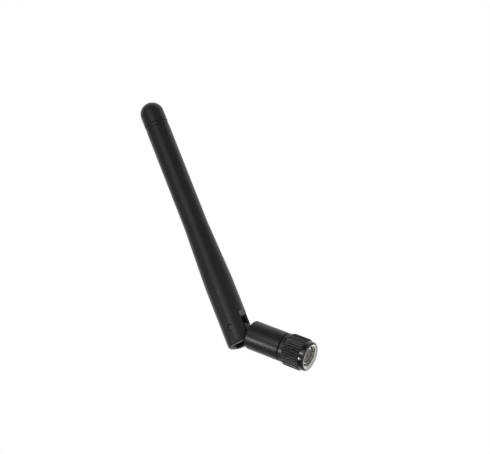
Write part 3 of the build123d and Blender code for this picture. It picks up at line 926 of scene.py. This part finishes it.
@dataclass
class Cover:
    """The rod's moulded cover with its two hinge ears, and the pins in them."""

    axes: Axes
    bottom: float = -4.7
    base_r: float = 4.1
    base_top: float = 14.6
    cone_top: float = 32.7
    top: float = 64.7
    tube_r: float = 3.44
    bore_r: float = 2.5
    floor: float = 6.5
    bottom_round: float = 0.7
    soft: float = 55.0  # radius where base, cone and tube run into each other
    top_edge: float = 0.08
    pocket_half: float = 1.95
    pocket_reach: float = 2.5
    pocket_round: float = 0.2
    mouth_bevel: float = 0.4
    slot_bevel: float = 0.4
    sweep_r: float = 4.9
    pin_r: float = 0.85
    pin_inner: float = 0.95
    pin_outer: float = 3.75
    pin_edge: float = 0.14
    pin_gap: float = 0.004  # keeps the pins' walls off their holes'
    rim: float = 0.1
    columns: int = 192
    pin_columns: int = 64
    sweep_points: int = 61

    def shell(self) -> bpy.types.Mesh:
        """The uncut cover: base, cone and tube with the bore, carried round the rod's axis."""
        corners = [
            (0.0, self.bottom, 0.0),
            (self.base_r, self.bottom, self.bottom_round),
            (self.base_r, self.base_top, self.soft),
            (self.tube_r, self.cone_top, self.soft),
            (self.tube_r, self.top, self.top_edge),
            (self.bore_r, self.top, 0.0),
            (self.bore_r, self.floor, 0.0),
            (0.0, self.floor, 0.0),
        ]
        profile = outline(corners, step=math.radians(6))
        return turned(profile, self.columns, TURN / self.columns / 2).mesh("cover", self.axes)

    def pocket(self) -> bpy.types.Mesh:
        """The pocket and side slot: one outline in the plane of tilt, carried across between the ears.

        It goes up the back wall, along the ceiling and up the slot's ramp at 45 degrees.
        """
        reach = self.pocket_reach
        corners = [
            (-reach, -PAST, 0.0),
            (-reach, reach, self.pocket_round),
            (reach, reach, self.pocket_round),
            (PAST, PAST, 0.0),
            (PAST, -PAST, 0.0),
        ]
        return prism(outline(corners), -self.pocket_half, self.pocket_half, True).mesh("pocket", self.axes)

    def mouth(self) -> bpy.types.Mesh:
        """The bevel round the pocket's mouth: a rectangle that widens as fast as it falls."""
        lap, below = 0.02, 1.0
        levels = np.array([self.bottom + self.mouth_bevel + lap, self.bottom - below])
        grow = self.bottom + self.mouth_bevel - levels
        half, back = self.pocket_half + grow, -self.pocket_reach - grow
        front = np.full(2, PAST)
        x = np.stack([back, front, front, back], axis=1)
        y = np.stack([-half, -half, half, half], axis=1)
        z = levels[:, None] * np.ones_like(x)
        return capped(np.stack([x, y, z], axis=-1)).mesh("mouth", self.axes)

    def slot_edge(self, side: int) -> bpy.types.Mesh:
        """The bevel on one ear's edge beside the slot, a wedge carried up the rod to the slot's ramp.

        The ramp's plane is height equal to x, so each of the wedge's top points takes its own x.
        """
        bevel, half = self.slot_bevel, self.pocket_half
        outer = math.sqrt(self.base_r**2 - (half + bevel) ** 2)
        lap, beyond, below, off_ramp = 0.3 * bevel, 5.5, -7.0, 0.002
        inner, end = (outer - bevel - lap, half - lap), (outer + 2 * bevel, half + 3 * bevel)
        wedge = np.array([inner, end, (beyond, half + 2 * bevel), (beyond, half - lap)])
        wedge[:, 1] *= side
        low, high = ring_of(wedge), ring_of(wedge)
        low[:, 2] = below
        high[:, 2] = wedge[:, 0] - off_ramp
        return capped(np.stack([low, high])).mesh("slot_edge", self.axes)

    def corner(self) -> bpy.types.Mesh:
        """What the ears lose to let the barrel's shoulder swing past: all outside an arc round the hinge."""
        sweep = arc(self.sweep_r, np.linspace(-math.pi / 2, 0, self.sweep_points))
        beyond = 8.0
        section = np.concatenate([sweep, [(beyond, 0.0), (beyond, -beyond), (0.0, -beyond)]])
        return prism(section, -PAST, PAST, True).mesh("corner", self.axes)

    def on_hinge(self, corners: list[tuple[float, float, float]], side: int) -> np.ndarray:
        """An outline turned about the hinge axis, on one side of the rod."""
        profile = outline(corners) * np.array([1, side])
        return on_y(revolved(profile, even_turn(self.pin_columns)))

    def pin_hole(self, side: int) -> bpy.types.Mesh:
        """A pin's hole with a softened rim, turned about the hinge axis."""
        rim_start = math.sqrt(self.base_r**2 - self.pin_r**2) - self.rim / 2
        flare = 1.0
        corners = [
            (0.0, self.pin_inner, 0.0),
            (self.pin_r, self.pin_inner, 0.0),
            (self.pin_r, rim_start, self.rim),
            (self.pin_r + flare, rim_start + flare, 0.0),
            (0.0, rim_start + flare, 0.0),
        ]
        draft = Draft()
        draft.grid(self.on_hinge(corners, side))
        return draft.mesh("pin_hole", self.axes)

    def pins(self) -> bpy.types.Mesh:
        """The two hinge pins, turned about the hinge axis, with rounded ends."""
        fit = self.pin_r - self.pin_gap
        corners = [
            (0.0, self.pin_inner, 0.0),
            (fit, self.pin_inner, self.pin_edge),
            (fit, self.pin_outer, self.pin_edge),
            (0.0, self.pin_outer, 0.0),
        ]
        draft = Draft()
        for side in (-1, 1):
            draft.grid(self.on_hinge(corners, side))
        return draft.mesh("pins", self.axes)

    def dress(self, dresser: Dresser) -> None:
        """Make and finish the cover and its pins."""
        cutters = [self.pocket(), self.mouth(), self.corner()]
        cutters += [self.slot_edge(side) for side in (-1, 1)]
        cutters += [self.pin_hole(side) for side in (-1, 1)]
        mesh = combined(self.shell(), cutters, "DIFFERENCE")
        tidy_shell(mesh)
        dresser.piece("rod_cover", mesh, "whip", [Look.BLACK_PLASTIC], ["radome"])
        dresser.piece("hinge_pin_pair", self.pins(), "whip", [Look.PIN_STEEL], ["hinge_pins"])


@dataclass
class TipCap:
    """The domed cap: its spigot in the tube, the band between two fine lines and the dome."""

    axes: Axes
    seat: float = 64.7
    foot: float = 66.0
    height: float = 7.1
    radius: float = 3.44
    band_r: float = 3.36
    line: float = 0.16  # width of the two dark lines
    line_r: float = 3.0
    spigot_r: float = 2.46
    spigot_length: float = 4.5
    hollow_r: float = 1.6
    hollow_top: float = 66.7
    edge: float = 0.07
    columns: int = 192
    dome_points: int = 33

    def shell(self) -> bpy.types.Mesh:
        """The cap: spigot, band and cylinder, and a quarter circle for the dome, carried round."""
        low, edge, line = self.seat - self.spigot_length, self.edge, self.line
        dome_foot = self.foot + self.height - self.radius
        corners = [
            (0.0, self.hollow_top, 0.0),
            (self.hollow_r, self.hollow_top, 0.0),
            (self.hollow_r, low, 0.0),
            (self.spigot_r, low, edge),
            (self.spigot_r, self.seat, 0.0),
            (self.line_r, self.seat, 0.0),
            (self.line_r, self.seat + line, 0.0),
            (self.band_r, self.seat + line, edge),
            (self.band_r, self.foot - line, edge),
            (self.line_r, self.foot - line, 0.0),
            (self.line_r, self.foot, 0.0),
            (self.radius, self.foot, edge),
            (self.radius, dome_foot, 0.0),
        ]
        quarter = np.linspace(0, math.pi / 2, self.dome_points)[1:]
        dome = arc(self.radius, quarter) + np.array([0.0, dome_foot])
        return turned(np.concatenate([outline(corners), dome]), self.columns).mesh("cap", self.axes)

    def dress(self, dresser: Dresser) -> None:
        """Make and finish the cap."""
        dresser.piece("domed_cap", self.shell(), "whip", [Look.BLACK_PLASTIC], ["tip_cap"])


@dataclass
class HingeCable:
    """The stretch of cable, drawn bent round the hinge at the rod's tilt."""

    hinge: float
    tilt: float
    jacket_r: float = 0.685
    bend_r: float = 4.0
    blend_margin: float = 0.01
    rows: int = 33
    columns: int = 40

    @property
    def reach(self) -> float:
        """How far from the hinge the bend starts and ends."""
        return self.bend_r * math.tan(self.tilt / 2)

    def tube(self) -> bpy.types.Mesh:
        """A circle carried round an arc whose centre lies one bend radius to the tilt side."""
        turn = np.linspace(0, self.tilt, self.rows)[:, None]
        angles = even_turn(self.columns)
        out = self.bend_r - self.jacket_r * np.cos(angles)
        x = self.bend_r - out * np.cos(turn)
        y = self.jacket_r * np.sin(angles) * np.ones_like(turn)
        z = self.hinge - self.reach + out * np.sin(turn)
        return capped(np.stack([x, y, z], axis=-1)).mesh("bend", Axes())

    def dress(self, dresser: Dresser) -> None:
        """Make and finish the cable between knuckle and rod, and bake its place into its mesh.

        The end of the bend on the rod's side is worked out from the bend radius and the tilt, but nothing
        uses it.
        """
        made = dresser.piece("hinge_cable", self.tube(), None, [Look.CABLE_JACKET], ["coax_bend"])
        end = Vector((math.sin(self.tilt), 0.0, math.cos(self.tilt))) * self.reach
        end.z += self.hinge
        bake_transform(made)


INNER_LOOKS = {
    "retaining_ring": Look.SPRING_BRONZE,
    "crimp_ferrule": Look.BRIGHT_BRASS,
    "coax_lower": Look.CABLE_JACKET,
    "coax_upper": Look.CABLE_JACKET,
    "coax_braid_lower": Look.CABLE_BRAID,
    "coax_braid_upper": Look.CABLE_BRAID,
    "coax_core_lower": Look.CABLE_CORE,
    "coax_core_upper": Look.CABLE_CORE,
    "coax_conductor_lower": Look.COPPER,
    "coax_conductor_upper": Look.COPPER,
    "sleeve_element": Look.BRIGHT_BRASS,
    "solder_ring": Look.SOLDER,
    "sleeve_bush": Look.NATURAL_PLASTIC,
    "upper_element": Look.BRIGHT_BRASS,
    "element_spacer": Look.NATURAL_PLASTIC,
}


# Studio


@dataclass(frozen=True)
class Softbox:
    """A square lamp that faces the antenna."""

    name: str
    towards: tuple[float, float, float]  # from the antenna to the lamp
    distance: float
    size: float
    glow: float  # brightness of its face, where 1 is white

    def build(self, target: Vector) -> None:
        """Place the lamp. Its power is its glow times pi times its face's area."""
        data = bpy.data.lights.new(self.name, "AREA")
        data.shape = "SQUARE"
        data.size = self.size
        data.energy = self.glow * math.pi * self.size**2
        lamp = bpy.data.objects.new(self.name, data)
        bpy.context.scene.collection.objects.link(lamp)
        direction = Vector(self.towards).normalized()
        lamp.location = target + direction * self.distance
        lamp.rotation_mode = "QUATERNION"
        lamp.rotation_quaternion = direction.to_track_quat("Z", "Y")
        lamp.visible_camera = False


@dataclass(frozen=True)
class Glow:
    """A bright patch of the surroundings, as reflections see it."""

    towards: tuple[float, float, float]  # to the right, up and ahead, in the camera's axes
    start: float  # the dot product with a ray's direction where it sets in
    full: float  # and where it reaches its brightness
    strength: float


@dataclass
class Studio:
    """Camera, lamps, white surroundings and the pale floor."""

    hinge: Vector
    image_width: int = 490
    focal_px: float = 1908.2
    sensor: float = 36.0
    clip: tuple[float, float] = (0.01, 20.0)
    right: tuple[float, float, float] = (0.3342, 0.44101, -0.83296)
    up: tuple[float, float, float] = (0.9425, -0.15516, 0.296)
    hinge_seen: tuple[float, float, float] = (-0.002315, -0.028286, -0.530658)  # in the camera's axes
    floor_height: float = -0.35
    floor_size: float = 1.4
    floor_lift: float = 0.46  # lifts the floor towards white for the camera alone
    soft_light: float = 0.55
    room: Glow = Glow((0.12, 0.12, 1.0), 0.0, 0.62, 0.68)  # the backdrop, brighter up and to the right
    screen: Glow = Glow((-0.5, 0.36, -0.79), 0.86, 0.985, 0.75)  # a broad screen beside the camera
    card: Glow = Glow((0.64, -0.28, 0.72), 0.89, 0.96, 0.5)  # a white card that the plug's front mirrors
    dark_side: float = 0.12  # how bright the rest of the room looks in a reflection
    lamps: tuple[Softbox, ...] = (
        Softbox("left_softbox", (-0.545, -0.7, 0.468), 0.5, 0.12, 12.0),
        Softbox("near_softbox", (0.09, -0.97, 0.25), 0.125, 0.02, 4.0),
    )

    def camera(self) -> None:
        """Stand the camera where the photograph was taken, from where it sees the hinge."""
        right, up = Vector(self.right).normalized(), Vector(self.up)
        up = (up - right * up.dot(right)).normalized()
        back = right.cross(up)
        turn = Matrix((right, up, back)).transposed()
        data = bpy.data.cameras.new("camera")
        data.sensor_width = self.sensor
        data.sensor_fit = "HORIZONTAL"
        data.lens = self.focal_px / self.image_width * self.sensor
        data.clip_start, data.clip_end = self.clip
        made = bpy.data.objects.new("camera", data)
        bpy.context.scene.collection.objects.link(made)
        place = self.hinge - turn @ Vector(self.hinge_seen)
        made.matrix_world = Matrix.Translation(place) @ turn.to_4x4()
        bpy.context.scene.camera = made

    def surroundings(self) -> None:
        """White to the camera, a soft light on surfaces, and in reflections a room with bright patches.

        Each patch is a smooth step of how well a reflected ray's direction agrees with the patch's
        own. The patches are added to the dark side's brightness.
        """
        world = bpy.data.worlds.new("surroundings")
        world.use_nodes = True
        bpy.context.scene.world = world
        shader = Shader(world.node_tree)
        path = shader.add("ShaderNodeLightPath").outputs
        direction = shader.add("ShaderNodeTexCoord").outputs["Generated"]
        right, up = Vector(self.right).normalized(), Vector(self.up).normalized()
        ahead = up.cross(right)
        room = self.dark_side
        for glow in (self.room, self.screen, self.card):
            towards = right * glow.towards[0] + up * glow.towards[1] + ahead * glow.towards[2]
            turn = shader.add(
                "ShaderNodeVectorMath", {"operation": "DOT_PRODUCT"}, slot_0=direction, slot_1=towards,
            )
            patch = shader.add(
                "ShaderNodeMapRange", {"interpolation_type": "SMOOTHSTEP"}, Value=turn.outputs["Value"],
                From_Min=glow.start, From_Max=glow.full, To_Min=0.0, To_Max=glow.strength,
            )
            room = shader.maths("ADD", room, patch.outputs[0])
        glossy = path["Is Glossy Ray"]
        seen = shader.maths("MAXIMUM", path["Is Camera Ray"], path["Is Transmission Ray"])
        plain = shader.between(seen, self.soft_light, 1.0)
        difference = shader.maths("SUBTRACT", room, plain)
        strength = shader.maths("ADD", plain, shader.maths("MULTIPLY", glossy, difference))
        background = shader.add("ShaderNodeBackground", None, Color=(1.0, 1.0, 1.0, 1.0), Strength=strength)
        shader.add("ShaderNodeOutputWorld", None, Surface=background.outputs[0])

    def floor(self) -> None:
        """A plain pale floor well below the antenna, which hangs by its plug."""
        half, level = self.floor_size / 2, self.floor_height
        corners = [(-half, -half, level), (half, -half, level), (half, half, level), (-half, half, level)]
        mesh = bpy.data.meshes.new("floor")
        mesh.from_pydata(corners, [], [(0, 1, 2, 3)])
        made = bpy.data.objects.new("floor", mesh)
        bpy.context.scene.collection.objects.link(made)
        material = bpy.data.materials.new("pale_floor")
        material.use_nodes = True
        shader = Shader(material.node_tree)
        surface = shader.add(
            "ShaderNodeBsdfPrincipled", None, Base_Color=(0.9, 0.9, 0.9, 1.0), Roughness=0.8,
            Emission_Color=(1.0, 1.0, 1.0, 1.0),
        )
        seen = shader.add("ShaderNodeLightPath").outputs["Is Camera Ray"]
        lift = shader.maths("MULTIPLY", seen, self.floor_lift)
        shader.fill(surface, Emission_Strength=lift)
        shader.add("ShaderNodeOutputMaterial", None, Surface=surface.outputs[0])
        mesh.materials.append(material)

    def build(self) -> None:
        """Set up the whole studio."""
        self.camera()
        self.surroundings()
        self.floor()
        for lamp in self.lamps:
            lamp.build(self.hinge)
        bpy.context.scene.view_settings.view_transform = "Standard"


def main() -> None:
    """Load the frame, dress every sub-assembly and set up the studio."""
    logging.basicConfig(level=logging.INFO, format="%(name)s %(message)s")
    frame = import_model()
    tilt_joint = next(j for j in frame["joints"] if j["name"] == "rod_tilt")
    hinge = Vector(tilt_joint["pos_m"])
    tip = sum(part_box("tip_cap"), Vector()) / 2 - hinge
    tilt = math.atan2(tip.x, tip.z)
    plug_axes = Axes()
    rod_axes = Axes(tuple(hinge), tilt)
    dresser = Dresser()
    for part in (
        Plug(plug_axes),
        CouplingNut(plug_axes),
        Knuckle(plug_axes, hinge=hinge.z / MM),
        Cover(rod_axes),
        TipCap(rod_axes),
        HingeCable(hinge.z / MM, tilt),
    ):
        part.dress(dresser)
    for name, look in INNER_LOOKS.items():
        dresser.node(name, frame["nodes"][name], look)
    Studio(hinge).build()


if __name__ == "__main__":
    main()
